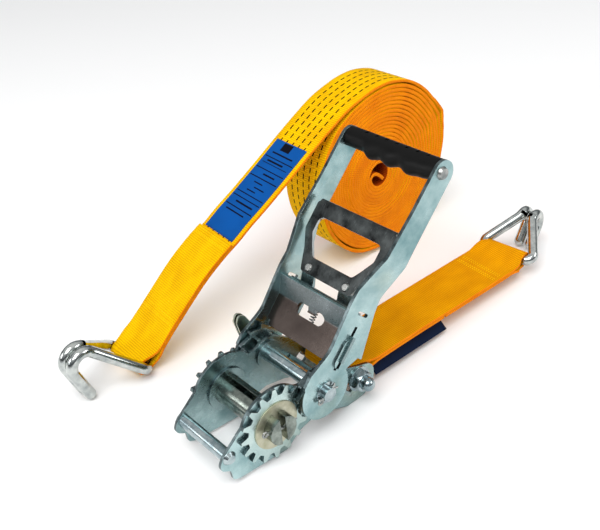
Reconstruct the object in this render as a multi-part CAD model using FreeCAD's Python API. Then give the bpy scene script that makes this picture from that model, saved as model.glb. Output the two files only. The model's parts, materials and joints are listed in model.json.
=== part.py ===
import FreeCAD, Part
import math
import os

os.makedirs("parts", exist_ok=True)

# Long-lever geared ratchet for 50 mm webbing, with its two claw-hook straps.
# Millimetres. X runs from the front tie rod to the rear strap bolt, Y along the
# axles (left is +Y), Z up. The floor is z = 0 and the mandrel axis is at x = 0, y = 0.

V = FreeCAD.Vector
X_AXIS = V(1, 0, 0)
Y_AXIS = V(0, 1, 0)

# axes and angles in the x-z plane
MANDREL = (0.0, 35.4)
PIVOT = (43.7, 43.7)
TIE_ROD = (-42.8, 30.5)
BOLT = (88.5, 21.5)
HANDLE_ANGLE = 46.08
SLOT_ANGLE = 0.0
MANDREL_COTTER_ANGLE = -14.0
GEAR_PHASE = 62.8
PIVOT_COTTER_ANGLE = 22.0
PAWL_TIP = (64.6, 28.2)
PAWL_ANGLE = -50.0

# positions across the ratchet, from the middle plane outwards
BUSH_IN = 25.2
PLATE_IN = 27.0
PLATE_OUT = 29.6
GEAR_IN = 29.8
GEAR_OUT = 32.6
WASHER_OUT = 33.5
PINION_OUT = 33.8
WHEEL_IN = 34.0
WHEEL_OUT = 37.4
SPACER_OUT = 38.3
HANDLE_IN = 38.4
HANDLE_OUT = 41.3
GRIP_END_IN = 47.1
GRIP_END_OUT = 50.0
COLLAR_OUT = 42.3
MANDREL_END = 42.0
MANDREL_COTTER = 38.0
PIVOT_COTTER = 44.0
PIVOT_END = 46.5
WING_END = 52.2
WING_LEAF = 1.8

# running and sliding fits
RUN_FIT = 0.05
SLIDE_FIT = 0.1

# mandrel and gears
MANDREL_R = 12.25
SLOT_HALF = 2.6
BUSH_R = 14.0
MANDREL_FLANGE_R = 18.6
GEAR_TEETH = 16
GEAR_TIP_R = 32.6
GEAR_ROOT_R = 26.2
GEAR_TIP_HALF = 1.5
GEAR_ROOT_HALF = 3.2
RING_WASHER_R = 20.2
COTTER_R = 1.4
COTTER_EYE_R = 2.0
COTTER_WIRE_R = 0.9

# handle pivot
SHAFT_R = 6.0
PIVOT_BUSH_R = 8.0
PIVOT_FLANGE_R = 12.3
PINION_TEETH = 8
PINION_TIP_R = 17.3
PINION_ROOT_R = 11.3
PINION_TIP_HALF = 1.4
PINION_ROOT_HALF = 2.7
WHEEL_TEETH = 12
WHEEL_TIP_R = 25.0
WHEEL_ROOT_R = 20.5
WHEEL_TURN = -35.0
COLLAR_R = 9.5
WING_HUB_R = 10.6

# frame plates
PLATE_TOP_R = 31.5
PLATE_TOP_MIDDLE = 97.5
PLATE_TOP_HALF = 26.25
POCKET_S = 9.5
POCKET_T0 = 5.0
POCKET_T1 = 7.5

# frame fasteners
TIE_ROD_R = 5.2
TIE_NECK_R = 4.0
TIE_HEAD_R = 5.8
TIE_HEAD_TOP_R = 3.6
TIE_HEAD_END = 32.3
BOLT_R = 5.0
HEX_FLATS = 17.0
NUT_FLANGE_R = 11.0
NUT_FLANGE_END = 31.2
NUT_HEX_END = 38.0
NUT_DOME_R = 6.0
NUT_DOME_END = 46.5
NUT_WALL = 4.0
NUT_CHAMFER = 2.5
BOLT_HEAD_END = 36.0
BOLT_CHAMFER = 1.5
HEX_TURN = 12.0
SLEEVE_R = 6.2

# handle, along its length (u) and across it (v)
HUB_R = 23.6
HANDLE_START = -30.0
HANDLE_END = 210.0
STEP_U0 = 82.0
STEP_U1 = 112.0
STEP_R = 9.0
RIDGE_U0 = 19.6
RIDGE_U1 = 44.0
RIDGE_HALF = 5.5
SIGHT_U = 65.3
SIGHT_V = 2.5
SIGHT_HALF_LENGTH = 6.2
SIGHT_HALF = 1.5
SLIT_V = 2.7
SLIT_START = 18.0
SLIT_END = 54.8
WEB_HALF = 38.4
WINDOW_U0 = 40.5
WINDOW_U1 = 50.5
WINDOW_Y = 10.5
TONGUE_U = 46.0
TONGUE_HALF = 3.6
GRIP_U = 185.5
GRIP_V = 6.7
GRIP_TOP_U = 195.8
GRIP_BOTTOM_U = 177.0
GRIP_HALF_V = 7.9
GRIP_BOLT_R = 4.0
FINGER_WAVE = ((46.9, -2.0), (36.0, -2.0), (27.5, -1.9), (18.5, 1.9), (8.6, -0.6), (-0.9, 2.0),
               (-11.7, -1.0), (-21.2, 2.0), (-33.0, 0.4), (-46.9, -1.4))
GRIP_STEPS = 60
NOTCHES = 7
NOTCH_START = 28.5
NOTCH_PITCH = 10.6
NOTCH_HALF = 1.0
NOTCH_LENGTH = 10.0
NOTCH_DEPTH = 1.5
NOTCH_TURN = 68.0
GRIP_HEAD_R = 5.4
GRIP_HEAD_TOP_R = 4.3
GRIP_HEAD = 2.4

# drive pawl and finger lever
DRIVE_FRONT = 25.4
DRIVE_V0 = 1.2
DRIVE_V1 = 4.2
DRIVE_BACK = 65.0
DRIVE_HALF = 38.2
EAR_END = 44.6
EAR_LENGTH = 21.4
TAB_V = 5.4
TAB_HALF = 7.0
SPRING_U0 = 38.0
SPRING_U1 = 57.4
LEVER_V0 = 7.9
LEVER_V1 = 10.4
RIVET_U = 77.3
RIVET_Y = 20.9
RIVET_R = 2.0
RIVET_HEAD_R = 3.6
RIVET_HEAD_TOP_R = 2.6
RIVET_HEAD = 1.4
RIVET_TAIL_R = 3.2
RIVET_TAIL = 1.0

# locking pawl, measured along its slide (s) and across it (t)
PAWL_WIDTH = 14.0
PAWL_HALF_T = 1.5
PAWL_HALF_Y = 37.0
SLOT_S0 = -1.0
SLOT_S1 = 22.0
SPRING_Y = 28.3
SPRING_GAP = 0.4

# springs: mean coil radius, wire radius and number of turns
DRIVE_COIL = (2.1, 0.45, 8)
LOCK_COIL = (0.85, 0.3, 5)

# webbing and hooks
WEB_T = 2.8
STRAP_HALF = 25.0
SLEEVE_GAP = 0.4
LABEL_HALF = 21.0
LABEL_T = 0.8
SHORT_LABEL = ((112.0, 6.5), (200.0, 4.5), (200.0, 12.0), (112.0, 17.0))
WIRE_R = 5.0
HOOK_HALF_BAR = 28.7
LONG_HOOK_ARM = 53.6
SHORT_HOOK_ARM = 44.5
HOOK_BEND_R = 11.8
HOOK_BEND = 151.6
LONG_HOOK_TIP = 29.2
SHORT_HOOK_TIP = 18.5
HOOK_PAIR_HALF = 5.7
HOOK_CORNER_R = 6.0
HOOK_EASE_R = 14.0
LOOP_IN = 5.7
LOOP_HALF = 18.5
LONG_HOOK = (-18.5, 148.6, 9.3)
LONG_HOOK_TURN = (185.0, 43.0, -1.2)
SHORT_HOOK = (313.9, -5.0, 18.2)
SHORT_HOOK_TURN = (9.9, 26.6, 4.0)
UPPER_RUN = ((121.8, 138.6, 108.6), (176.5, 136.2, 140.5), (209.0, 135.5, 158.0),
             (232.0, 135.5, 168.2), (252.0, 135.5, 173.2))
LABEL_RUN = ((91.0, 140.3, 92.6), (121.8, 138.6, 108.6), (176.5, 136.2, 140.5), (181.0, 136.1, 142.9))
ROLL_CENTRE = (270.8, 88.4)
ROLL_Y = 135.5
ROLL_R = 88.0
ROLL_EYE_R = 8.0
ROLL_EYE = (261.8, 84.4)


def turned(x, z, angle):
    """The x-z pair turned by an angle in degrees from +X towards +Z."""
    c = math.cos(math.radians(angle))
    s = math.sin(math.radians(angle))
    return (x * c - z * s, x * s + z * c)


def polar(centre, radius, angle):
    """The x-z point at a radius and an angle from a centre."""
    dx, dz = turned(radius, 0, angle)
    return (centre[0] + dx, centre[1] + dz)


def corner_path(points, radii, closed):
    """Lines through 3-D points, with an arc of the given radius at each corner."""
    count = len(points)
    entries = []
    for i, here in enumerate(points):
        radius = radii[i]
        if radius == 0:
            entries.append((here, None, here))
            continue
        back = (points[i - 1] - here).normalize()
        ahead = (points[(i + 1) % count] - here).normalize()
        half = back.getAngle(ahead) / 2
        cut = radius / math.tan(half)
        middle = here + (back + ahead).normalize() * (radius / math.sin(half) - radius)
        entries.append((here + back * cut, middle, here + ahead * cut))
    edges = []
    for i, (start, middle, end) in enumerate(entries):
        if middle is not None:
            edges.append(Part.Arc(start, middle, end).toShape())
        if i == count - 1 and not closed:
            break
        following = entries[(i + 1) % count][0]
        if (following - end).Length > 1e-4:
            edges.append(Part.makeLine(end, following))
    return Part.Wire(edges)


def outline_xz(points):
    """Closed wire in the x-z plane through (x, z) or (x, z, corner radius) points."""
    vectors = [V(p[0], 0, p[1]) for p in points]
    radii = [p[2] if len(p) > 2 else 0 for p in points]
    return corner_path(vectors, radii, True)


def slab(points, y0, y1):
    """Flat plate between two y values, with its outline in the x-z plane."""
    face = Part.Face(outline_xz(points))
    face.translate(V(0, y0, 0))
    return face.extrude(V(0, y1 - y0, 0))


def rod(centre, radius, y0, y1):
    return Part.makeCylinder(radius, y1 - y0, V(centre[0], y0, centre[1]), Y_AXIS)


def ring(centre, outer, inner, y0, y1):
    return rod(centre, outer, y0, y1).cut(rod(centre, inner, y0 - 1, y1 + 1))


def block(x0, x1, y0, y1, z0, z1):
    return Part.makeBox(x1 - x0, y1 - y0, z1 - z0, V(x0, y0, z0))


def mirrored(shape):
    """The same piece on the other side of the middle plane."""
    return shape.mirror(V(0, 0, 0), Y_AXIS)


def placed(shape, centre, angle):
    """Turns a piece made about the origin in the x-z plane and moves it to its axis."""
    moved = shape.copy()
    moved.rotate(V(0, 0, 0), Y_AXIS, -angle)
    moved.translate(V(centre[0], 0, centre[1]))
    return moved


def save(name, shape):
    shape.exportStep("parts/" + name + ".step")


def save_pair(name, right):
    """Writes a piece modelled on the left side (+Y) and its mirror image."""
    save(name + "_left", right)
    save(name + "_right", mirrored(right))


# ---------------------------------------------------------------- frame

def plate_outline():
    """Side plate: a round front over the mandrel, a foot, an arch and a rear arm."""
    reach = PLATE_TOP_R / math.cos(math.radians(PLATE_TOP_HALF))
    points = [polar(MANDREL, reach, angle) + (PLATE_TOP_R - 1.5,)
              for angle in (PLATE_TOP_MIDDLE - PLATE_TOP_HALF, PLATE_TOP_MIDDLE + PLATE_TOP_HALF)]
    front = [(-28.4, 49.2, 2.0), (-48.6, 33.2, 7.0), (-53.0, 24.0, 6.0), (-43.4, 17.6, 2.0)]
    foot = [(-42.6, 8.0, 3.0), (-37.2, 5.0, 2.0), (10.0, 0.1, 6.0)]
    arch = [(25.0, 10.6, 12.0), (37.0, 13.0, 12.0), (56.0, 8.5, 12.0), (74.5, 0.2, 8.0)]
    rear = [(106.4, 0.0, 16.9), (106.5, 27.5, 12.0), (89.6, 33.4, 14.0), (77.2, 38.8, 10.0)]
    top = [(47.5, 60.2, 13.0), (26.5, 53.2, 8.0)]
    return points + front + foot + arch + rear + top


def pawl_point(s, t):
    """Point at s along the locking pawl's slide and t across it."""
    dx, dz = turned(s, t, PAWL_ANGLE)
    return (PAWL_TIP[0] + dx, PAWL_TIP[1] + dz)


def frame_plate():
    wide = PAWL_HALF_T + SLIDE_FIT
    corners = ((SLOT_S0, -wide), (SLOT_S1, -wide), (SLOT_S1, POCKET_T0),
               (POCKET_S, POCKET_T1), (POCKET_S, wide), (SLOT_S0, wide))
    slot = [pawl_point(along, across) for along, across in corners]
    plate = slab(plate_outline(), PLATE_IN, PLATE_OUT)
    plate = plate.cut(slab(slot, PLATE_IN - 1, PLATE_OUT + 1))
    for centre, radius in ((MANDREL, BUSH_R), (PIVOT, PIVOT_BUSH_R), (TIE_ROD, TIE_NECK_R), (BOLT, BOLT_R)):
        plate = plate.cut(rod(centre, radius, PLATE_IN - 1, PLATE_OUT + 1))
    return plate


def bush(centre, bore, neck, flange):
    """Flanged bush: the neck fills the plate's hole, the flange lies on the inner face."""
    shape = rod(centre, flange, BUSH_IN, PLATE_IN).fuse(rod(centre, neck, BUSH_IN, PLATE_OUT))
    shape = shape.cut(rod(centre, bore + RUN_FIT, BUSH_IN - 1, PLATE_OUT + 1))
    return shape.removeSplitter()


def tie_rod():
    bar = rod(TIE_ROD, TIE_ROD_R, -PLATE_IN, PLATE_IN)
    bar = bar.fuse(rod(TIE_ROD, TIE_NECK_R, -PLATE_OUT, PLATE_OUT))
    base = V(TIE_ROD[0], PLATE_OUT, TIE_ROD[1])
    head = Part.makeCone(TIE_HEAD_R, TIE_HEAD_TOP_R, TIE_HEAD_END - PLATE_OUT, base, Y_AXIS)
    return bar.fuse([head, mirrored(head)]).removeSplitter()


def hexagon(y0, y1):
    corner = HEX_FLATS / 2 / math.cos(math.radians(30))
    return slab([polar(BOLT, corner, 60 * k + HEX_TURN) for k in range(6)], y0, y1)


def rear_bolt():
    """Hex-headed bolt from the left plate, threaded into the cap nut on the right."""
    shank = rod(BOLT, BOLT_R, NUT_WALL - NUT_DOME_END, BOLT_HEAD_END - 1)
    chamfer = Part.makeCone(HEX_FLATS / 2 + BOLT_CHAMFER, HEX_FLATS / 2, BOLT_HEAD_END - PLATE_OUT,
                            V(BOLT[0], PLATE_OUT, BOLT[1]), Y_AXIS)
    return shank.fuse(hexagon(PLATE_OUT, BOLT_HEAD_END).common(chamfer)).removeSplitter()


def cap_nut():
    dome_start = NUT_DOME_END - NUT_DOME_R
    nut = rod(BOLT, NUT_FLANGE_R, PLATE_OUT, NUT_FLANGE_END)
    chamfer = Part.makeCone(HEX_FLATS / 2 + NUT_CHAMFER, HEX_FLATS / 2 - 0.3, NUT_HEX_END - NUT_FLANGE_END,
                            V(BOLT[0], NUT_FLANGE_END, BOLT[1]), Y_AXIS)
    nut = nut.fuse(hexagon(NUT_FLANGE_END, NUT_HEX_END).common(chamfer))
    nut = nut.fuse(rod(BOLT, NUT_DOME_R, NUT_HEX_END - 1, dome_start))
    nut = nut.fuse(Part.makeSphere(NUT_DOME_R, V(BOLT[0], dome_start, BOLT[1])))
    return mirrored(nut.cut(rod(BOLT, BOLT_R, 0, NUT_DOME_END - NUT_WALL)).removeSplitter())


def make_frame():
    save_pair("frame_plate", frame_plate())
    save_pair("mandrel_bush", bush(MANDREL, MANDREL_R, BUSH_R, MANDREL_FLANGE_R))
    save_pair("pivot_bush", bush(PIVOT, SHAFT_R, PIVOT_BUSH_R, PIVOT_FLANGE_R))
    save("tie_rod", tie_rod())
    save("rear_bolt", rear_bolt())
    save("cap_nut", cap_nut())
    save("strap_sleeve", ring(BOLT, SLEEVE_R, BOLT_R + RUN_FIT, SLIDE_FIT - PLATE_IN, PLATE_IN - SLIDE_FIT))


# ---------------------------------------------------------------- mandrel

def half_shaft(side):
    """Half-round shaft on one side of the webbing slot, made about the origin."""
    whole = rod((0, 0), MANDREL_R, -MANDREL_END, MANDREL_END)
    near = min(side * SLOT_HALF, side * 2 * MANDREL_R)
    far = max(side * SLOT_HALF, side * 2 * MANDREL_R)
    half = whole.common(block(near, far, -MANDREL_END - 1, MANDREL_END + 1, -20, 20))
    hole = Part.makeCylinder(COTTER_R + RUN_FIT, 60, V(-30, MANDREL_COTTER, 0), X_AXIS)
    hole.rotate(V(0, 0, 0), Y_AXIS, SLOT_ANGLE - MANDREL_COTTER_ANGLE)
    return half.cut([hole, mirrored(hole)])


def cotter(reach):
    """Split pin along x about the origin: an eye on the -x side and two spread legs."""
    eye = V(-reach - COTTER_EYE_R - COTTER_WIRE_R + 0.2, 0, 0)
    pin = Part.makeCylinder(COTTER_R, 2 * reach + 0.8, V(-reach - 0.6, 0, 0), X_AXIS)
    pin = pin.fuse(Part.makeTorus(COTTER_EYE_R, COTTER_WIRE_R, eye, Y_AXIS))
    for side in (-1, 1):
        leg = Part.makeCylinder(COTTER_WIRE_R - 0.1, 4.5, V(reach - 0.4, 0, side * 0.5), V(1, 0, side * 0.75))
        pin = pin.fuse(leg)
    return pin.removeSplitter()


def toothed_wheel(teeth, tip_r, root_r, tip_half, root_half, y0, y1):
    """Spur wheel with straight-sided teeth, first tooth along +x."""
    points = []
    for k in range(teeth):
        middle = 360.0 / teeth * k
        tip = math.degrees(math.asin(tip_half / tip_r))
        root = math.degrees(math.asin(root_half / root_r))
        points.append(polar((0, 0), root_r, middle - root) + (1.0,))
        points.append(polar((0, 0), tip_r, middle - tip) + (0.5,))
        points.append(polar((0, 0), tip_r, middle + tip) + (0.5,))
        points.append(polar((0, 0), root_r, middle + root) + (1.0,))
    return slab(points, y0, y1)


def make_mandrel():
    halves = [placed(half_shaft(side), MANDREL, SLOT_ANGLE) for side in (-1, 1)]
    save("mandrel_half_front", halves[0])
    save("mandrel_half_rear", halves[1])
    gear = toothed_wheel(GEAR_TEETH, GEAR_TIP_R, GEAR_ROOT_R, GEAR_TIP_HALF, GEAR_ROOT_HALF,
                         GEAR_IN, GEAR_OUT)
    gear = placed(gear, MANDREL, GEAR_PHASE).cut(halves)
    save_pair("big_gear", gear)
    save_pair("flange_washer", rod(MANDREL, RING_WASHER_R, GEAR_OUT, WASHER_OUT).cut(halves))
    pin = placed(cotter(MANDREL_R), MANDREL, MANDREL_COTTER_ANGLE)
    pin.translate(V(0, MANDREL_COTTER, 0))
    save_pair("mandrel_cotter", pin)


# ---------------------------------------------------------------- pivot shaft

def ratchet_wheel():
    points = []
    for k in range(WHEEL_TEETH):
        angle = 360.0 / WHEEL_TEETH * k
        points.append(polar((0, 0), WHEEL_TIP_R - 0.2, angle - 3.5))
        points.append(polar((0, 0), WHEEL_TIP_R, angle))
        points.append(polar((0, 0), WHEEL_ROOT_R, angle + 1.5))
    wheel = slab(points, WHEEL_IN, WHEEL_OUT)
    return placed(wheel, PIVOT, WHEEL_TURN).cut(rod(PIVOT, SHAFT_R, WHEEL_IN - 1, WHEEL_OUT + 1))


def pinion():
    line = math.degrees(math.atan2(PIVOT[1] - MANDREL[1], PIVOT[0] - MANDREL[0]))
    pitch = 360.0 / GEAR_TEETH
    offset = (GEAR_PHASE - line) % pitch
    phase = line + 180 + 180.0 / PINION_TEETH - 2 * offset
    wheel = toothed_wheel(PINION_TEETH, PINION_TIP_R, PINION_ROOT_R, PINION_TIP_HALF, PINION_ROOT_HALF,
                          GEAR_IN, PINION_OUT)
    return placed(wheel, PIVOT, phase).cut(rod(PIVOT, SHAFT_R, GEAR_IN - 1, PINION_OUT + 1))


def pivot_shaft():
    shaft = rod(PIVOT, SHAFT_R, -PIVOT_END, WING_END + 0.6)
    hole = Part.makeCylinder(COTTER_R + RUN_FIT, 60, V(-30, 0, 0), X_AXIS)
    hole = placed(hole, PIVOT, PIVOT_COTTER_ANGLE)
    for y in (-PIVOT_COTTER, PIVOT_COTTER):
        moved = hole.copy()
        moved.translate(V(0, y, 0))
        shaft = shaft.cut(moved)
    return shaft


def wing_lug():
    """Forked lug on the left end of the shaft: two leaves side by side on one hub."""
    leaf = [(36.0, 50.0), (33.4, 60.0, 5.0), (31.2, 71.0, 4.0), (34.2, 77.4, 2.5), (40.0, 74.0, 4.0),
            (46.5, 61.5, 8.0), (52.0, 50.0)]
    lug = rod(PIVOT, WING_HUB_R, PIVOT_END, WING_END)
    for y in (PIVOT_END, WING_END - WING_LEAF):
        lug = lug.fuse(slab(leaf, y, y + WING_LEAF))
    return lug.removeSplitter().cut(rod(PIVOT, SHAFT_R, PIVOT_END - 1, WING_END + 1))


def make_pivot():
    save("pivot_shaft", pivot_shaft())
    save_pair("pinion", pinion())
    save_pair("ratchet_wheel", ratchet_wheel())
    save_pair("wheel_spacer", ring(PIVOT, COLLAR_R, SHAFT_R, WHEEL_OUT, SPACER_OUT))
    save_pair("pivot_collar", ring(PIVOT, COLLAR_R, SHAFT_R, HANDLE_OUT + SLIDE_FIT, COLLAR_OUT))
    pin = placed(cotter(SHAFT_R), PIVOT, PIVOT_COTTER_ANGLE)
    pin.translate(V(0, PIVOT_COTTER, 0))
    save_pair("pivot_cotter", pin)
    save("wing_lug", wing_lug())


# ---------------------------------------------------------------- handle, made with u on +x and v on +z

def handle_outline():
    near = [(-4.0, 24.7, 2.0), (7.0, 25.0, 8.0), (30.0, 17.2, 25.0), (70.0, 21.3, 60.0), (118.0, 17.9, 80.0)]
    end = [(150.0, 16.0, 80.0), (196.4, 15.4, 10.8), (196.4, -6.8, 10.8)]
    far = [(125.0, -6.5, 30.0), (85.0, -7.6, 14.0), (70.0, -10.2, 14.0), (45.0, -18.4, 20.0)]
    catch = [(32.2, -22.8, 1.0), (32.6, -17.4, 1.5), (22.6, -10.4, 0.6), (6.0, -6.0), (-4.0, 6.0)]
    return near + end + far + catch


def side_profile():
    """Side plate's section from above: straight, then stepping out to the grip."""
    inner = [(HANDLE_START, HANDLE_IN), (STEP_U0, HANDLE_IN), (STEP_U1, GRIP_END_IN),
             (HANDLE_END, GRIP_END_IN)]
    outer = [(HANDLE_END, GRIP_END_OUT), (STEP_U1 - 0.8, GRIP_END_OUT), (STEP_U0 - 0.8, HANDLE_OUT),
             (HANDLE_START, HANDLE_OUT)]
    radii = [0, STEP_R, STEP_R, 0, 0, STEP_R, STEP_R, 0]
    points = [V(u, y, -30) for u, y in inner + outer]
    return Part.Face(corner_path(points, radii, True)).extrude(V(0, 0, 60))


def slot_cut(u0, u1, v, half, y0, y1):
    """Round-ended slot along u."""
    ends = [rod((u, v), half, y0, y1) for u in (u0 + half, u1 - half)]
    middle = block(u0 + half, u1 - half, y0, y1, v - half, v + half)
    return middle.fuse(ends)


def handle_side():
    blank = slab(handle_outline(), HANDLE_IN - 1, GRIP_END_OUT + 1)
    blank = blank.fuse(rod((0, 0), HUB_R, HANDLE_IN - 1, GRIP_END_OUT + 1)).removeSplitter()
    side = blank.common(side_profile())
    side = side.fuse(slot_cut(RIDGE_U0, RIDGE_U1, SLIT_V, RIDGE_HALF, HANDLE_OUT - 0.5, HANDLE_OUT + 1.5))
    slit_half = (DRIVE_V1 - DRIVE_V0) / 2 + SLIDE_FIT
    side = side.cut(block(SLIT_START, SLIT_END, 30, 60, SLIT_V - slit_half, SLIT_V + slit_half))
    sight = slot_cut(-SIGHT_HALF_LENGTH, SIGHT_HALF_LENGTH, 0, SIGHT_HALF, 30, 60)
    side = side.cut(placed(sight, (SIGHT_U, SIGHT_V), -90))
    side = side.cut(rod((0, 0), SHAFT_R + RUN_FIT, 30, 60))
    return side.cut(rod((GRIP_U, GRIP_V), GRIP_BOLT_R, 30, 60))


def handle_web():
    """Cross web: a flat floor over the drive pawl, then a ramp up to its free flange."""
    points = [(21.0, 5.5), (48.8, 5.5, 3.0), (64.4, 15.2), (63.0, 17.3), (47.7, 8.0, 1.0), (21.0, 8.0)]
    web = slab(points, -WEB_HALF, WEB_HALF)
    for side in (-1, 1):
        ends = sorted((side * (WHEEL_IN - 0.4), side * (WEB_HALF + 1)))
        web = web.cut(block(0, WHEEL_TIP_R + 0.4, ends[0], ends[1], 0, 20))
    window = block(WINDOW_U0, WINDOW_U1, -WINDOW_Y, WINDOW_Y, 0, 20)
    half = (WINDOW_U1 - WINDOW_U0) / 2
    noses = [Part.makeCylinder(half, 20, V(WINDOW_U0 + half, y, 0)) for y in (-WINDOW_Y, WINDOW_Y)]
    tongue = block(TONGUE_U, WINDOW_U1 + 1, -TONGUE_HALF, TONGUE_HALF, -1, 21)
    return web.cut(window.fuse(noses).cut(tongue))


def handle_channel():
    side = handle_side()
    return side.fuse([mirrored(side), handle_web()]).removeSplitter()


def finger_swell(y):
    """How far the grip's underside swells at a place across the handle, eased between crests."""
    for (far, high), (near, low) in zip(FINGER_WAVE, FINGER_WAVE[1:]):
        if near <= y <= far:
            share = (far - y) / (far - near)
            return high + (low - high) * share * share * (3 - 2 * share)
    return FINGER_WAVE[-1][1]


def grip_station(y, swell):
    """Oval section of the grip, swollen towards the hand opening."""
    bottom = GRIP_BOTTOM_U - swell
    middle = V((GRIP_TOP_U + bottom) / 2, y, GRIP_V)
    oval = Part.Ellipse(V(bottom, y, GRIP_V), V(middle.x, y, GRIP_V + GRIP_HALF_V), middle)
    return Part.Wire(oval.toShape())


def grip():
    """Moulded grip: a waved underside for the fingers and a row of shallow notches on top."""
    end = FINGER_WAVE[0][0]
    places = [end - 2 * end * k / GRIP_STEPS for k in range(GRIP_STEPS + 1)]
    shape = Part.makeLoft([grip_station(y, finger_swell(y)) for y in places], True, True)
    middle = (GRIP_TOP_U + GRIP_BOTTOM_U) / 2
    radius = (GRIP_TOP_U - GRIP_BOTTOM_U) / 2
    for k in range(NOTCHES):
        notch = block(-NOTCH_LENGTH / 2, NOTCH_LENGTH / 2, -NOTCH_HALF, NOTCH_HALF, radius - NOTCH_DEPTH, 2 * radius)
        notch.rotate(V(0, 0, 0), Y_AXIS, NOTCH_TURN)
        notch.translate(V(middle, NOTCH_START - NOTCH_PITCH * k, GRIP_V))
        shape = shape.cut(notch)
    return shape.cut(rod((GRIP_U, GRIP_V), GRIP_BOLT_R, -60, 60))


def grip_bolt():
    """Long rivet through both side plates and the grip, with low domed heads."""
    pin = rod((GRIP_U, GRIP_V), GRIP_BOLT_R, -GRIP_END_OUT, GRIP_END_OUT)
    head = Part.makeCone(GRIP_HEAD_R, GRIP_HEAD_TOP_R, GRIP_HEAD, V(GRIP_U, GRIP_END_OUT, GRIP_V), Y_AXIS)
    return pin.fuse([head, mirrored(head)]).removeSplitter()


def drive_pawl():
    """Sliding plate under the web; its ears run in the slits of the side plates."""
    plate = block(DRIVE_FRONT, DRIVE_BACK, -DRIVE_HALF, DRIVE_HALF, DRIVE_V0, DRIVE_V1)
    ears = block(DRIVE_FRONT, DRIVE_FRONT + EAR_LENGTH, -EAR_END, EAR_END, DRIVE_V0, DRIVE_V1)
    tab = [(60.0, DRIVE_V0), (66.2, DRIVE_V0, 3.0), (73.0, TAB_V, 3.0), (84.0, TAB_V), (84.0, LEVER_V0),
           (73.7, LEVER_V0, 1.0), (65.3, DRIVE_V1, 1.0), (60.0, DRIVE_V1)]
    tab = slab(tab, RIVET_Y - TAB_HALF, RIVET_Y + TAB_HALF)
    shape = plate.fuse([ears, tab, mirrored(tab)]).removeSplitter()
    shape = shape.cut(block(SPRING_U0, SPRING_U1, -WINDOW_Y - 5, WINDOW_Y + 5, 0, 10))
    for side in (-1, 1):
        shape = shape.cut(Part.makeCylinder(RIVET_R, 20, V(RIVET_U, side * RIVET_Y, 0)))
    return shape


def flat_outline(points, z0, z1):
    """Plate between two z values, with its outline in the x-y plane."""
    vectors = [V(p[0], p[1], z0) for p in points]
    radii = [p[2] if len(p) > 2 else 0 for p in points]
    return Part.Face(corner_path(vectors, radii, True)).extrude(V(0, 0, z1 - z0))


def symmetric(points):
    """Adds the mirror image across the middle plane, to close the outline."""
    return points + [(p[0], -p[1]) + tuple(p[2:]) for p in points[::-1]]


def finger_lever():
    outer = symmetric([(72.5, 27.5, 3.0), (81.0, 31.0, 6.0), (91.0, 35.0, 10.0), (105.0, 43.0, 6.0),
                       (129.5, 43.0, 3.0)])
    inner = symmetric([(86.0, 22.0, 4.0), (93.0, 27.0, 6.0), (104.0, 34.0, 6.0), (118.0, 34.0, 5.0)])
    lever = flat_outline(outer, LEVER_V0, LEVER_V1)
    lip = [(127.0, LEVER_V0), (127.0, 4.6, 2.4), (132.0, 4.6, 2.4), (132.0, LEVER_V1, 2.4), (126.0, LEVER_V1)]
    lever = lever.fuse(slab(lip, -41.0, 41.0)).removeSplitter()
    lever = lever.cut(flat_outline(inner, LEVER_V0 - 1, LEVER_V1 + 1))
    for side in (-1, 1):
        lever = lever.cut(Part.makeCylinder(RIVET_R, 20, V(RIVET_U, side * RIVET_Y, 0)))
    return lever


def lever_rivets():
    rivets = []
    for side in (-1, 1):
        foot = V(RIVET_U, side * RIVET_Y, TAB_V)
        shank = Part.makeCylinder(RIVET_R, LEVER_V1 - TAB_V, foot)
        top = Part.makeCone(RIVET_HEAD_R, RIVET_HEAD_TOP_R, RIVET_HEAD, V(foot.x, foot.y, LEVER_V1))
        tail = Part.makeCylinder(RIVET_TAIL_R, RIVET_TAIL, V(foot.x, foot.y, TAB_V - RIVET_TAIL))
        rivets.append(shank.fuse([top, tail]).removeSplitter())
    return Part.makeCompound(rivets)


def coil(sizes, length):
    """Round-wire compression spring along +x from the origin."""
    radius, wire, turns = sizes
    helix = Part.makeHelix(length / turns, length, radius)
    profile = Part.Wire(Part.makeCircle(wire, V(radius, 0, 0), Y_AXIS))
    spring = Part.Wire(helix).makePipeShell([profile], True, True)
    spring.rotate(V(0, 0, 0), Y_AXIS, 90)
    return spring


def drive_spring():
    """Spring in the drive pawl's window, between the pawl and the web's middle tongue."""
    spring = coil(DRIVE_COIL, SPRING_U1 - SPRING_U0 - 1.6)
    spring.translate(V(SPRING_U0 + 0.8, 0, SLIT_V))
    return spring


def make_handle():
    save("handle_channel", placed(handle_channel(), PIVOT, HANDLE_ANGLE))
    save("grip", placed(grip(), PIVOT, HANDLE_ANGLE))
    save("grip_bolt", placed(grip_bolt(), PIVOT, HANDLE_ANGLE))
    save("drive_pawl", placed(drive_pawl(), PIVOT, HANDLE_ANGLE))
    save("finger_lever", placed(finger_lever(), PIVOT, HANDLE_ANGLE))
    save("lever_rivets", placed(lever_rivets(), PIVOT, HANDLE_ANGLE))
    save("drive_spring", placed(drive_spring(), PIVOT, HANDLE_ANGLE))


# ---------------------------------------------------------------- locking pawl

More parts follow.
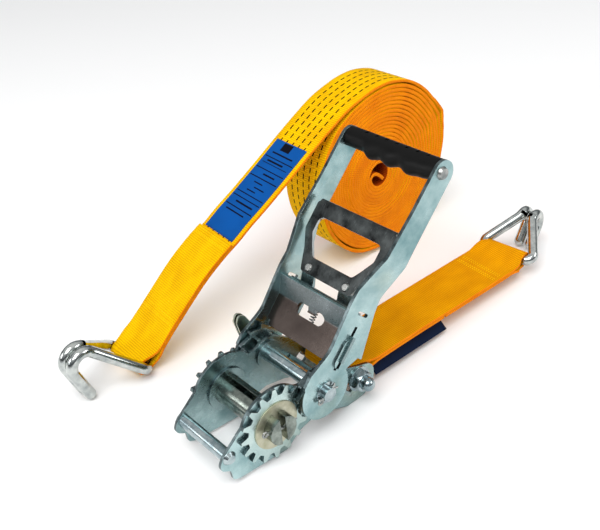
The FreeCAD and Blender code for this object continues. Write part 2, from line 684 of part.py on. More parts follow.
def make_locking_pawl():
    corners = ((0, -PAWL_HALF_T), (PAWL_WIDTH, -PAWL_HALF_T), (PAWL_WIDTH, PAWL_HALF_T), (0, PAWL_HALF_T))
    outline = [pawl_point(along, across) for along, across in corners]
    save("locking_pawl", slab(outline, -PAWL_HALF_Y, PAWL_HALF_Y))
    springs = []
    for y in (-SPRING_Y, SPRING_Y):
        spring = coil(LOCK_COIL, SLOT_S1 - PAWL_WIDTH - 2 * SPRING_GAP)
        spring.translate(V(PAWL_WIDTH + SPRING_GAP, y, 0))
        springs.append(placed(spring, PAWL_TIP, PAWL_ANGLE))
    save("lock_springs", Part.makeCompound(springs))


# ---------------------------------------------------------------- hooks

def hook_frame(turn):
    """Forward, side and up directions of a hook from its heading, pitch and roll."""
    heading, pitch, roll = [math.radians(a) for a in turn]
    flat = V(math.cos(heading), math.sin(heading), 0)
    side = V(-math.sin(heading), math.cos(heading), 0) * math.cos(roll) + V(0, 0, math.sin(roll))
    up = flat.cross(side)
    forward = flat * math.cos(pitch) + up * math.sin(pitch)
    return forward, side, forward.cross(side)


def claw_hook(centre, turn, arm, straight):
    """Bent-wire double claw: a crossbar, two closing arms and two parallel J tips."""
    forward, side, up = hook_frame(turn)
    cut = HOOK_BEND_R * math.tan(math.radians(HOOK_BEND / 2))
    tip = cut + straight
    bend = math.radians(HOOK_BEND)
    half = [(arm + cut + tip * math.cos(bend), HOOK_PAIR_HALF, -tip * math.sin(bend), 0),
            (arm + cut, HOOK_PAIR_HALF, 0, HOOK_BEND_R),
            (arm, HOOK_PAIR_HALF, 0, HOOK_EASE_R),
            (0, HOOK_HALF_BAR, 0, HOOK_CORNER_R)]
    route = half + [(x, -y, z, r) for x, y, z, r in half[::-1]]
    points = [V(*centre) + forward * x + side * y + up * z for x, y, z, r in route]
    path = corner_path(points, [r for x, y, z, r in route], False)
    start = (points[1] - points[0]).normalize()
    profile = Part.Wire(Part.makeCircle(WIRE_R, points[0], start))
    wire = path.makePipeShell([profile], True, False)
    ends = [Part.makeSphere(WIRE_R, p) for p in (points[0], points[-1])]
    return wire.fuse(ends)


# ---------------------------------------------------------------- straps

def cross_section(centre, along, side, half, thickness):
    """Rectangle across the webbing at one place on its run."""
    normal = along.cross(side).normalize() * (thickness / 2)
    across = side * half
    low = [centre - across - normal, centre + across - normal]
    high = [centre + across + normal, centre - across + normal]
    return Part.makePolygon(low + high + low[:1])


def band(stations, thickness):
    """Webbing through stations of (centre, side direction, half width)."""
    sections = []
    for i, (centre, side, half) in enumerate(stations):
        before = stations[max(i - 1, 0)][0]
        after = stations[min(i + 1, len(stations) - 1)][0]
        sections.append(cross_section(centre, (after - before).normalize(), side, half, thickness))
    return Part.makeLoft(sections, True, True)


def end_loop(centre, side, bore, half):
    """Sewn loop of webbing round a bar."""
    base = V(*centre) - side * half
    outer = Part.makeCylinder(bore + WEB_T, 2 * half, base, side)
    return outer.cut(Part.makeCylinder(bore, 4 * half, base - side * half, side))


def hook_side(turn):
    """Crossbar direction, pointing to the left of the ratchet."""
    side = hook_frame(turn)[1]
    return side if side.y > 0 else side * -1


def long_strap():
    """Sewn loop on the hook, doubled end, single rising run and the wound roll."""
    side = hook_side(LONG_HOOK_TURN)
    loop = end_loop(LONG_HOOK, side, LOOP_IN, LOOP_HALF)
    start = V(*LONG_HOOK) + V(LOOP_IN + WEB_T / 2, 0, 3.0)
    rise = ((8.0, 146.4, 29.0, 23.0), (30.0, 144.6, 49.5, STRAP_HALF), (52.0, 143.0, 68.0, STRAP_HALF),
            (72.0, 141.6, 82.0, STRAP_HALF), (88.0, 140.5, 90.9, STRAP_HALF))
    run = rise[-1:] + tuple((x, y, z, STRAP_HALF) for x, y, z in UPPER_RUN)
    doubled = [(start, side, LOOP_HALF)] + [(V(x, y, z), Y_AXIS, half) for x, y, z, half in rise]
    single = [(V(x, y, z), Y_AXIS, half) for x, y, z, half in run]
    roll = rod(ROLL_CENTRE, ROLL_R, ROLL_Y - STRAP_HALF, ROLL_Y + STRAP_HALF)
    roll = roll.cut(rod(ROLL_EYE, ROLL_EYE_R, ROLL_Y - 60, ROLL_Y + 60))
    bore = Part.makeCylinder(LOOP_IN, 100, V(*LONG_HOOK) - side * 50, side)
    strap = roll.fuse([band(single, WEB_T), band(doubled, 2 * WEB_T).cut(bore), loop])
    return strap.removeSplitter()


def long_label():
    """Woven label sewn on top of the long strap's upper run."""
    lift = V(-0.5, 0, 0.87).normalize() * ((WEB_T + LABEL_T) / 2 + 0.02)
    return band([(V(*place) + lift, Y_AXIS, LABEL_HALF) for place in LABEL_RUN], LABEL_T)


def short_strap():
    """Doubled webbing between the rear bolt's sleeve and the short hook's crossbar."""
    side = hook_side(SHORT_HOOK_TURN)
    hook_end = V(*SHORT_HOOK)
    bolt_end = V(BOLT[0], 0, BOLT[1])
    along = (hook_end - bolt_end).normalize()
    start = bolt_end + along * 8.2
    finish = hook_end - along * 7.2
    stations = [(start, Y_AXIS, STRAP_HALF)]
    for share in (0.35, 0.65, 0.88):
        lean = (Y_AXIS * (1 - share) + side * share).normalize()
        stations.append((start + (finish - start) * share, lean, STRAP_HALF))
    stations.append((finish, side, LOOP_HALF))
    middle = band(stations, 2 * WEB_T)
    bar = Part.makeCylinder(LOOP_IN, 100, hook_end - side * 50, side)
    middle = middle.cut([rod(BOLT, SLEEVE_R + SLEEVE_GAP, -60, 60), bar])
    loops = [end_loop((BOLT[0], 0, BOLT[1]), Y_AXIS, SLEEVE_R + SLEEVE_GAP, STRAP_HALF),
             end_loop(SHORT_HOOK, side, LOOP_IN, LOOP_HALF)]
    return middle.fuse(loops).removeSplitter()


def short_label():
    """Navy label sewn under the short strap and hanging from its right edge."""
    return slab(SHORT_LABEL, -STRAP_HALF - LABEL_T - 1, -STRAP_HALF - 1)


def make_straps():
    save("long_strap", long_strap())
    save("long_label", long_label())
    save("long_hook", claw_hook(LONG_HOOK, LONG_HOOK_TURN, LONG_HOOK_ARM, LONG_HOOK_TIP))
    save("short_strap", short_strap())
    save("short_label", short_label())
    save("short_hook", claw_hook(SHORT_HOOK, SHORT_HOOK_TURN, SHORT_HOOK_ARM, SHORT_HOOK_TIP))


make_frame()
make_mandrel()
make_pivot()
make_handle()
make_locking_pawl()
make_straps()
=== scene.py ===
import json
import math

import bpy
from mathutils import Matrix, Vector


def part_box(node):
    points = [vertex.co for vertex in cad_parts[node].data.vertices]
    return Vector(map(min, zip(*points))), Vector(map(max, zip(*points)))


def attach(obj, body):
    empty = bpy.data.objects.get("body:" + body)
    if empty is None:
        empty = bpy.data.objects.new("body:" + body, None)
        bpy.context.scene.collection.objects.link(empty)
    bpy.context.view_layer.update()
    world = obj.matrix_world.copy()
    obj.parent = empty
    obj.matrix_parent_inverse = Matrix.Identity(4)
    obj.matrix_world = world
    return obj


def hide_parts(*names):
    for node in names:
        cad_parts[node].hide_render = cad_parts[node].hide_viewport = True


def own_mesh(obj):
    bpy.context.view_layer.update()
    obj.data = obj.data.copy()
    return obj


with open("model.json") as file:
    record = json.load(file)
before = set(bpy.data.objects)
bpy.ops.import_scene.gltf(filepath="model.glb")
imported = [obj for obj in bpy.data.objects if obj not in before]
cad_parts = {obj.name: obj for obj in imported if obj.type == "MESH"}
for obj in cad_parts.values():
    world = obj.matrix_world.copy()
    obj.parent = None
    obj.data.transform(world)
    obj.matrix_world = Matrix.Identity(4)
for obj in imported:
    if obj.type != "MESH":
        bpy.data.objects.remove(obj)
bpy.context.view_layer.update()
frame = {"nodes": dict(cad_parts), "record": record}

MM = 0.001
NODES = frame["nodes"]
JOINTS = {joint["name"]: joint for joint in frame["record"]["behaviour"]["joints"]}


def mm(x, y, z):
    """A point given in millimetres."""
    return Vector((x, y, z)) * MM


def joint_place(name):
    """Where the record puts a joint, in metres."""
    return Vector(JOINTS[name]["pos_m"])


def joint_axis(name):
    """The direction a joint turns about or slides along."""
    return Vector(JOINTS[name]["axis"])


def smoothstep(t):
    """Rises smoothly from nothing at 0 to one at 1."""
    t = min(max(t, 0.0), 1.0)
    return t * t * (3 - 2 * t)


# ---------------------------------------------------------------- materials

def linear(r, g, b):
    """A screen colour, 0 to 255, as the linear colour that shaders use."""
    return tuple((c / 255) ** 2.2 for c in (r, g, b)) + (1.0,)


class Material:
    """A principled material with short calls for adding nodes."""

    def __init__(self, name, colour, roughness, metallic=0.0):
        self.made = bpy.data.materials.new(name)
        self.made.use_nodes = True
        self.tree = self.made.node_tree
        self.shader = self.tree.nodes["Principled BSDF"]
        self.shader.inputs["Base Color"].default_value = colour
        self.shader.inputs["Roughness"].default_value = roughness
        self.shader.inputs["Metallic"].default_value = metallic

    def node(self, kind, inputs=None, **settings):
        made = self.tree.nodes.new("ShaderNode" + kind)
        for key, value in settings.items():
            setattr(made, key, value)
        for key, value in (inputs or {}).items():
            if isinstance(value, bpy.types.NodeSocket):
                self.tree.links.new(value, made.inputs[key])
            else:
                made.inputs[key].default_value = value
        return made

    def math(self, operation, *values):
        return self.node("Math", dict(enumerate(values)), operation=operation).outputs[0]

    def coordinates(self, kind="Object"):
        return self.node("TexCoord").outputs[kind]

    def parts(self, vector):
        return self.node("SeparateXYZ", {0: vector}).outputs

    def noise(self, vector, scale, detail=2.0, roughness=0.5):
        inputs = {"Vector": vector, "Scale": scale, "Detail": detail, "Roughness": roughness}
        return self.node("TexNoise", inputs).outputs["Fac"]

    def stretched(self, vector, scale):
        return self.node("Mapping", {"Vector": vector, "Scale": scale}).outputs[0]

    def remap(self, value, low, high, to_low=0.0, to_high=1.0):
        inputs = {"Value": value, "From Min": low, "From Max": high,
                  "To Min": to_low, "To Max": to_high}
        return self.node("MapRange", inputs).outputs[0]

    def mix(self, share, first, second):
        made = self.node("Mix", data_type="RGBA")
        for place, value in ((0, share), (6, first), (7, second)):
            if isinstance(value, bpy.types.NodeSocket):
                self.tree.links.new(value, made.inputs[place])
            else:
                made.inputs[place].default_value = value
        return made.outputs[2]

    def set(self, name, value):
        if isinstance(value, bpy.types.NodeSocket):
            self.tree.links.new(value, self.shader.inputs[name])
        else:
            self.shader.inputs[name].default_value = value

    def bump(self, height, strength, distance, normal=None):
        inputs = {"Height": height, "Strength": strength, "Distance": distance}
        if normal is not None:
            inputs["Normal"] = normal
        self.set("Normal", self.node("Bump", inputs).outputs[0])

    def rounded_edges(self, radius):
        return self.node("Bevel", {"Radius": radius}, samples=6).outputs[0]


def sheared_edges(made, colour, only_beyond=None):
    """Darkens the cut edges of sheet metal whose flat faces look along y."""
    across = made.math("ABSOLUTE", made.parts(made.coordinates("Normal"))[1])
    mask = made.remap(across, 0.35, 0.6, 1.0, 0.0)
    if only_beyond is not None:
        side = made.math("ABSOLUTE", made.parts(made.coordinates())[1])
        mask = made.math("MULTIPLY", mask, made.math("GREATER_THAN", side, only_beyond))
    grain = made.noise(made.coordinates(), 160.0, 2.0)
    torn = made.mix(made.remap(grain, 0.35, 0.65), linear(66, 76, 78), linear(104, 116, 118))
    return made.mix(mask, colour, torn)


ZINC_LIGHT = linear(184, 208, 208)
ZINC_DARK = linear(104, 140, 144)


def zinc_material(name, light, dark, roughness, grain=(40, 400, 400), edges=False,
                  only_beyond=None):
    """Blue-passivated zinc plate: cloudy tint, fine rolling grain and soft worn edges."""
    made = Material(name, light, roughness, 1.0)
    place = made.coordinates()
    cloud = made.noise(place, 34.0, 4.0, 0.6)
    broad = made.noise(place, 13.0, 2.0)
    share = made.math("ADD", made.remap(cloud, 0.34, 0.68, 0.0, 0.6),
                      made.remap(broad, 0.35, 0.65, 0.0, 0.4))
    tint = made.mix(share, light, dark)
    patch = made.noise(place, 16.0, 2.0)
    colour = made.mix(made.remap(patch, 0.58, 0.75, 0.0, 0.3), tint, linear(190, 184, 150))
    scratch = made.noise(made.stretched(place, grain), 9.0, 3.0, 0.7)
    colour = made.mix(made.remap(scratch, 0.62, 0.72, 0.0, 0.35), colour, linear(222, 232, 234))
    if edges:
        colour = sheared_edges(made, colour, only_beyond=only_beyond)
    made.set("Base Color", colour)
    streak = made.noise(made.stretched(place, grain), 6.0, 2.0)
    speck = made.noise(place, 900.0, 1.0)
    clouded = made.remap(cloud, 0.3, 0.7, roughness - 0.06, roughness + 0.08)
    made.set("Roughness", made.math("ADD", clouded, made.remap(streak, 0.3, 0.7, -0.03, 0.05)))
    height = made.math("ADD", made.math("MULTIPLY", streak, 0.6), made.math("MULTIPLY", speck, 0.4))
    made.bump(height, 0.14, 0.0002, made.rounded_edges(0.0005))
    return made


# The channel's cross web: half its width, and distances from the pivot along the handle.
WEB_HALF_WIDTH = 38.36 * MM
WEB_FLOOR_END = 47.0 * MM
WEB_RISE_START = 48.6 * MM
WEB_END = 62.9 * MM


def handle_zinc():
    """The channel's zinc, with darker faces on its cross web: a brown-grey floor and a lighter grey
    rise.
    """
    made = zinc_material("zinc_handle", ZINC_LIGHT, ZINC_DARK, 0.27, edges=True,
                         only_beyond=WEB_HALF_WIDTH)
    swing = joint_place("handle_swing")
    angle = math.atan2(joint_axis("drive_pawl_pull").z, joint_axis("drive_pawl_pull").x)
    x, y, z = made.parts(made.coordinates())[:3]
    dx = made.math("SUBTRACT", x, swing.x)
    dz = made.math("SUBTRACT", z, swing.z)
    along = made.math("ADD", made.math("MULTIPLY", dx, math.cos(angle)),
                      made.math("MULTIPLY", dz, math.sin(angle)))
    inside = made.math("LESS_THAN", made.math("ABSOLUTE", y), WEB_HALF_WIDTH)
    web = made.math("MULTIPLY", inside, made.math("LESS_THAN", along, WEB_END))
    ramp = made.remap(along, WEB_FLOOR_END, WEB_RISE_START)
    old = made.shader.inputs["Base Color"].links[0].from_socket
    cloud = made.noise(made.coordinates(), 60.0, 3.0, 0.6)
    fleck = made.noise(made.coordinates(), 1400.0, 1.0)
    floor = made.mix(cloud, linear(50, 44, 42), linear(84, 76, 72))
    rise = made.mix(cloud, linear(100, 106, 108), linear(140, 148, 150))
    rise = made.mix(made.remap(fleck, 0.62, 0.7, 0.0, 0.5), rise, linear(190, 198, 200))
    made.set("Base Color", made.mix(web, old, made.mix(ramp, floor, rise)))
    return made


def simple_metal(name, light, dark, roughness):
    """Turned or pressed metal with a faint mottle and softened edges."""
    made = Material(name, light, roughness, 1.0)
    place = made.coordinates()
    cloud = made.noise(place, 120.0, 3.0, 0.6)
    made.set("Base Color", made.mix(made.remap(cloud, 0.3, 0.7), light, dark))
    made.set("Roughness", made.remap(cloud, 0.3, 0.7, roughness - 0.04, roughness + 0.08))
    fine = made.noise(place, 1500.0, 1.0)
    made.bump(fine, 0.08, 0.0001, made.rounded_edges(0.0004))
    return made


def lever_material():
    """Dark phosphated steel with scuffs, and sheared edges lightened as bare steel and as a painted
    highlight.
    """
    made = Material("lever_dark", linear(46, 48, 50), 0.32, 0.9)
    place = made.coordinates()
    cloud = made.noise(place, 55.0, 4.0, 0.65)
    scuff = made.noise(made.stretched(place, (60, 500, 60)), 3.0, 3.0)
    base = made.mix(made.remap(cloud, 0.35, 0.7), linear(36, 38, 38), linear(88, 92, 92))
    base = made.mix(made.remap(scuff, 0.64, 0.74, 0.0, 0.6), base, linear(128, 136, 138))
    pull = joint_axis("drive_pawl_pull")
    normal = made.parts(made.coordinates("Normal"))
    flat = made.math("ABSOLUTE", made.math("SUBTRACT", made.math("MULTIPLY", normal[2], pull.x),
                                           made.math("MULTIPLY", normal[0], pull.z)))
    # Sheared edges lightened: partly bare steel, partly a painted highlight where the lip catches
    # light.
    sheared_and_highlit = made.remap(flat, 0.3, 0.6, 1.0, 0.0)
    made.set("Base Color", made.mix(sheared_and_highlit, base, linear(176, 184, 186)))
    made.set("Roughness", made.remap(cloud, 0.3, 0.7, 0.24, 0.4))
    made.bump(cloud, 0.1, 0.0002, made.rounded_edges(0.0006))
    return made


def grip_material():
    """Moulded black rubbery plastic with a fine spark-eroded grain."""
    made = Material("grip_black", linear(8, 8, 8), 0.42)
    made.set("Specular IOR Level", 0.16)
    place = made.coordinates()
    grain = made.noise(place, 2600.0, 2.0)
    cloud = made.noise(place, 60.0, 2.0)
    made.set("Base Color", made.mix(cloud, linear(3, 3, 3), linear(12, 12, 11)))
    made.set("Roughness", made.remap(cloud, 0.3, 0.7, 0.38, 0.55))
    made.bump(grain, 0.25, 0.00015)
    return made


RIB = 2.05 * MM             # along the webbing, from rib to rib
YARN = 1.5 * MM             # across the webbing, from yarn to yarn
DASH_ROW = 8.1 * MM         # from one row of black tracer dashes to the next
DASH_WIDTH = 1.5 * MM
DASH_PITCH = 8.0 * MM       # along a row, from dash to dash
DASH_SHARE = 0.62           # of that pitch is black
DASHED_HALF = 2.4 * DASH_ROW
LABEL_YARN = 0.45 * MM


def weave_height(made, u, v):
    """Ribs across the webbing, broken into slanting yarns."""
    slant = made.math("ADD", u, made.math("MULTIPLY", made.math("PINGPONG", v, YARN * 2), 0.1))
    rib = made.math("SINE", made.math("MULTIPLY", slant, 2 * math.pi / RIB))
    yarn = made.math("SINE", made.math("MULTIPLY", v, 2 * math.pi / YARN))
    return made.math("ADD", made.math("MULTIPLY", rib, 0.3), made.math("MULTIPLY", yarn, 0.2))


def webbing_material(name, bright, deep, dashes=False):
    """Woven polyester: ribbed weave, colour drift, painted shade in the weave's grooves and, if
    asked for, rows of black tracer yarn.
    """
    made = Material(name, bright, 0.78)
    made.set("Specular IOR Level", 0.05)
    u, v = made.parts(made.coordinates("UV"))[:2]
    height = weave_height(made, u, v)
    drift = made.noise(made.stretched(made.coordinates("UV"), (30, 60, 1)), 1.0, 3.0)
    # Painted shade: the colour darkens towards the deep tone in the weave's low grooves.
    painted_groove_shade = made.remap(height, -0.4, 0.3, 0.85, 0.0)
    groove_shade_and_drift = made.math("ADD", painted_groove_shade, made.remap(drift, 0.3, 0.7, -0.15, 0.3))
    colour = made.mix(groove_shade_and_drift, bright, deep)
    if dashes:
        rows = made.math("ADD", made.math("DIVIDE", v, DASH_ROW), 0.5)
        row = made.math("ABSOLUTE", made.math("SUBTRACT", made.math("FRACT", rows), 0.5))
        thin = made.math("LESS_THAN", row, 0.5 * DASH_WIDTH / DASH_ROW)
        inner = made.math("LESS_THAN", made.math("ABSOLUTE", v), DASHED_HALF)
        dash = made.math("FRACT", made.math("DIVIDE", u, DASH_PITCH))
        long = made.math("LESS_THAN", dash, DASH_SHARE)
        mask = made.math("MULTIPLY", made.math("MULTIPLY", thin, inner), long)
        colour = made.mix(mask, colour, linear(20, 18, 10))
    made.set("Base Color", colour)
    made.bump(height, 0.7, 0.0005)
    return made


def edge_material(name, bright, deep):
    """The webbing's thick selvedge, where the yarns turn back, with painted shade in the troughs of
    its ribs.
    """
    made = Material(name, bright, 0.8)
    made.set("Specular IOR Level", 0.1)
    u = made.parts(made.coordinates("UV"))[0]
    wave = made.math("SINE", made.math("MULTIPLY", u, 2 * math.pi / RIB))
    drift = made.noise(made.coordinates(), 55.0, 3.0)
    # Painted shade: the colour darkens in the troughs of the rib wave, on top of a random colour
    # drift.
    share = made.math("ADD", made.remap(wave, -1, 1, 0.25, -0.05),
                      made.remap(drift, 0.3, 0.7, -0.15, 0.35))
    made.set("Base Color", made.mix(share, bright, deep))
    made.bump(wave, 0.4, 0.0003)
    return made


def label_material(name, ground, ink, bars):
    """Printed woven label: a flat ground with plain bars and blocks, and no lettering."""
    made = Material(name, ground, 0.55)
    made.set("Specular IOR Level", 0.1)
    u, v = made.parts(made.coordinates("UV"))[:2]
    mask = None
    for middle_u, half_u, middle_v, half_v in bars:
        off_u = made.math("ABSOLUTE", made.math("SUBTRACT", u, middle_u * MM))
        near_u = made.math("LESS_THAN", off_u, half_u * MM)
        off_v = made.math("ABSOLUTE", made.math("SUBTRACT", v, middle_v * MM))
        near_v = made.math("LESS_THAN", off_v, half_v * MM)
        bar = made.math("MULTIPLY", near_u, near_v)
        mask = bar if mask is None else made.math("MAXIMUM", mask, bar)
    weft = made.math("SINE", made.math("MULTIPLY", u, 2 * math.pi / LABEL_YARN))
    warp = made.math("SINE", made.math("MULTIPLY", v, 2 * math.pi / LABEL_YARN))
    drift = made.noise(made.coordinates(), 40.0, 3.0)
    faded = tuple(0.6 * c for c in ground[:3]) + (1.0,)
    base = made.mix(made.remap(drift, 0.3, 0.7, 0.0, 0.35), ground, faded)
    made.set("Base Color", base if mask is None else made.mix(mask, base, ink))
    made.bump(made.math("MULTIPLY", weft, warp), 0.15, 0.0001)
    return made


# ---------------------------------------------------------------- webbing geometry

def through(points, step):
    """Evenly spaced places along a smooth curve through the points."""
    dense = []
    last = len(points) - 1
    for i in range(last):
        a, b, c, d = (points[max(i - 1, 0)], points[i], points[i + 1], points[min(i + 2, last)])
        for k in range(24):
            t = k / 24
            dense.append(0.5 * ((2 * b) + (c - a) * t + (2 * a - 5 * b + 4 * c - d) * t ** 2
                                + (3 * b - 3 * c + d - a) * t ** 3))
    dense.append(points[-1])
    return even(dense, step)


def even(dense, step):
    """The same line with places a fixed step apart, and its last place kept."""
    placed = [dense[0]]
    spare = 0.0
    for a, b in zip(dense, dense[1:]):
        length = (b - a).length
        at = step - spare
        while at <= length:
            placed.append(a.lerp(b, at / length))
            at += step
        spare = (spare + length) % step if length > 0 else spare
    if (placed[-1] - dense[-1]).length > 0.3 * step:
        placed.append(dense[-1])
    return placed


COLUMNS = 8                 # across a ribbon's face


def profile():
    """Webbing's section, in shares of its half width and thickness, and its sides' materials."""
    flat = [-1 + 2 * k / COLUMNS for k in range(COLUMNS + 1)]
    ring = [(0.985 * v, 0.5) for v in flat]
    ring += [(1.0, 0.34), (1.0, -0.34)]
    ring += [(0.985 * v, -0.5) for v in reversed(flat)]
    ring += [(-1.0, -0.34), (-1.0, 0.34)]
    kinds = [0] * COLUMNS + [2, 2, 2] + [1] * COLUMNS + [2, 2, 2]
    return ring, kinds


def ribbon(name, centres, across, halves, thickness, materials):
    """A length of webbing. Its materials are for the side of along x across, back and edges."""
    ring, kinds = profile()
    vertices, faces, uvs, kinds_of = [], [], [], []
    travelled = [0.0]
    for a, b in zip(centres, centres[1:]):
        travelled.append(travelled[-1] + (b - a).length)
    last = len(centres) - 1
    for i, centre in enumerate(centres):
        along = (centres[min(i + 1, last)] - centres[max(i - 1, 0)]).normalized()
        side = (across[i] - along * across[i].dot(along)).normalized()
        out = along.cross(side)
        vertices += [centre + side * (v * halves[i]) + out * (h * thickness[i]) for v, h in ring]
    count = len(ring)
    for i in range(last):
        for k in range(count):
            following = (k + 1) % count
            faces.append((i * count + k, i * count + following,
                          (i + 1) * count + following, (i + 1) * count + k))
            v0, v1 = ring[k][0] * halves[i], ring[following][0] * halves[i]
            u0, u1 = travelled[i], travelled[i + 1]
            uvs.append(((u0, v0), (u0, v1), (u1, v1), (u1, v0)))
            kinds_of.append(kinds[k])
    for start in (0, last * count):
        order = range(count) if start else reversed(range(count))
        faces.append(tuple(start + k for k in order))
        uvs.append(tuple((0.0, 0.0) for _ in range(count)))
        kinds_of.append(2)
    mesh = bpy.data.meshes.new(name)
    mesh.from_pydata([tuple(p) for p in vertices], [], [tuple(reversed(f)) for f in faces])
    layer = mesh.uv_layers.new(name="length_and_width")
    for polygon, places, kind in zip(mesh.polygons, uvs, kinds_of):
        polygon.material_index = kind
        polygon.use_smooth = True
        for loop, place in zip(polygon.loop_indices, reversed(places)):
            layer.data[loop].uv = place
    for material in materials:
        mesh.materials.append(material.made)
    made = bpy.data.objects.new(name, mesh)
    bpy.context.scene.collection.objects.link(made)
    return made, travelled[-1]


def offset_line(line, across, gaps):
    """A line moved off its own surface by a gap at each place."""
    moved = []
    last = len(line) - 1
    for i, place in enumerate(line):
        along = (line[min(i + 1, last)] - line[max(i - 1, 0)]).normalized()
        out = along.cross(across[i]).normalized()
        moved.append(place + out * gaps[i])
    return moved


WEB_T = 2.7 * MM            # thickness of one layer
HALF = 25.0 * MM            # half of the webbing's width
STEP = 2.5 * MM             # between places along a strap
BAR_HALF = 20.0 * MM        # half width where the webbing is gathered on a hook's bar
LAYER_GAP = 1.45 * MM       # from a doubled strap's middle to each layer's
BAR_R = 5.0 * MM            # radius of a hook's crossbar
CLOSED_BY = 26 * MM         # from a hook's bar, where the two layers meet
SLEEVE_R = 6.2 * MM         # radius of the sleeve on the rear bolt
ARC_STEPS = 20


def turn_round(centre, start_out, axis):
    """Places half way round a bar, from an offset vector, turning backwards about the axis."""
    turn = -math.pi / ARC_STEPS
    return [centre + Matrix.Rotation(turn * k, 3, axis) @ start_out for k in range(ARC_STEPS + 1)]


# ---------------------------------------------------------------- long strap

WIDE_BY = 20 * MM           # from the hook's bar, where the webbing has its full width
SIDES_LEVEL_BY = 45 * MM    # from the hook's bar, where the webbing's width lies along y
FLAP_END = 88 * MM          # where the doubled end stops, along x
SINGLE_BY = 22 * MM         # past the flap's end, where the single layer is on the run's line
LABEL_END = 181 * MM        # where the label's last place may be, along x
LABEL_HALF = 20.6 * MM
LABEL_T = 0.5 * MM
EYE_LENGTH = 120 * MM       # of the strap's inner end, in the shade of the roll's eye
ROLL_PITCH = 3.55 * MM
ROLL_T = 3.46 * MM          # a turn's thickness, which leaves a thin dark line to the next
ROLL_R = 87.5 * MM          # the roll's mean outer radius
ROLL_END_R = 12.0 * MM
ROLL_STEPS = 96             # places in a turn
JOIN_TURNS = 0.16           # over which the run's last place settles onto the roll
LOOSE_TURNS = 1.05          # before the dents begin
THICKEN_STEPS = 40          # places over which the run's thickness grows to a turn's
ROLL_CENTRE = (270.8, 135.5, 88.4)
ROLL_EYE = (261.8, 135.5, 84.6)
# The roll's outer radius in mm at angles in degrees from x towards z.
OUTLINE = ((-180, 87.5), (-174, 87.5), (-145, 88.6), (-121, 89.6), (-98, 87.0), (-79, 84.6),
           (-45, 86.0), (-12, 87.6), (3, 90.0), (12, 92.0), (20, 95.0), (27, 92.2), (37, 89.8),
           (62, 89.6), (80, 88.4), (95, 87.4), (109, 87.2), (120, 88.2), (132, 90.0), (146, 90.0),
           (165, 88.4), (180, 87.5))
# Dents in the inner turns: where and how wide in degrees, how deep, and the turn from which and
# the number of turns over which each fades.
ROLL_DENTS = ((228, 34, 1.7 * MM, 1.5, 6.0), (19, 10, 2.2 * MM, 1.3, 3.0))
# The folded inner end: degrees on round the eye, and the distance from its middle in mm.
EYE_FOLD = ((24, 10.6), (48, 8.6), (70, 5.6), (106, 2.2), (204, 2.2), (232, 5.2), (242, 8.2))


def outline_radius(angle):
    """The roll's outer radius at an angle, smoothed between measured places."""
    degrees = (math.degrees(angle) + 180) % 360 - 180
    for (a, low), (b, high) in zip(OUTLINE, OUTLINE[1:]):
        if a <= degrees <= b:
            return (low + (high - low) * smoothstep((degrees - a) / (b - a))) * MM
    return OUTLINE[0][1] * MM


def near_angle(angle, middle, width):
    """One at the middle angle, falling smoothly to nothing a few widths away, both in degrees."""
    gap = (math.degrees(angle) - middle + 180) % 360 - 180
    return math.exp(-(gap / width) ** 2)


def roll_line(start_angle, start_radius, centre, eye):
    """The wound strap's line, clockwise and inwards, from a loose turn to a fold in the eye."""
    line = []
    turns = (outline_radius(start_angle) - ROLL_T / 2 - ROLL_END_R) / ROLL_PITCH
    full = outline_radius(start_angle)
    joined = start_radius - (full - ROLL_T / 2)
    for k in range(int(turns * ROLL_STEPS) + 1):
        turn = k / ROLL_STEPS
        angle = start_angle - 2 * math.pi * turn
        share = 1 - ROLL_PITCH * turn / full
        oval = 1 + (outline_radius(angle) / ROLL_R - 1) * share ** 3
        reach = (ROLL_R - ROLL_PITCH * turn) * oval - ROLL_T / 2
        reach += joined * (1 - smoothstep(turn / JOIN_TURNS))
        inner = smoothstep((turn - LOOSE_TURNS) / 0.4)
        for dent_angle, width, depth, fades_from, fades_over in ROLL_DENTS:
            fading = 1 - smoothstep((turn - fades_from) / fades_over)
            reach -= depth * near_angle(angle, dent_angle, width) * inner * fading
        middle = eye.lerp(centre, share)
        sway = 0.25 * MM * math.sin(0.9 * angle) + 0.35 * MM * math.sin(5.3 * turn)
        sway *= smoothstep(turn)
        line.append(middle + Vector((reach * math.cos(angle), sway, reach * math.sin(angle))))
    last = start_angle - 2 * math.pi * int(turns * ROLL_STEPS) / ROLL_STEPS
    folded = [line[-1]]
    for degrees, radius in EYE_FOLD:
        angle = last - math.radians(degrees)
        folded.append(eye + mm(radius * math.cos(angle), 0.0, radius * math.sin(angle)))
    return line[:-1] + through(folded, STEP / 2)


def long_strap_run():
    """The strap's middle line between the hook and the roll, double up to the flap's end."""
    bar = joint_place("long_hook_swing")
    return [bar, mm(-3, 147.6, 20.6), mm(12, 146.6, 33.6), mm(31, 145.0, 50.6), mm(52, 143.4, 68.4),
            mm(72, 141.8, 82.0), mm(95, 140.2, 94.6), mm(121.8, 138.6, 108.8),
            mm(149, 137.3, 124.4), mm(176.5, 136.2, 140.6), mm(203, 135.6, 155.2),
            mm(228, 135.5, 167.0), mm(252.2, 135.5, 173.4)]


def shade_eye(strap, length, shaded):
    """The innermost faces look into the closed eye, so they take the shaded webbing."""
    strap.data.materials.append(shaded.made)
    layer = strap.data.uv_layers[0]
    for polygon in strap.data.polygons:
        place = layer.data[polygon.loop_indices[0]].uv.x
        if polygon.material_index < 2 and place > length - EYE_LENGTH:
            polygon.material_index = 3


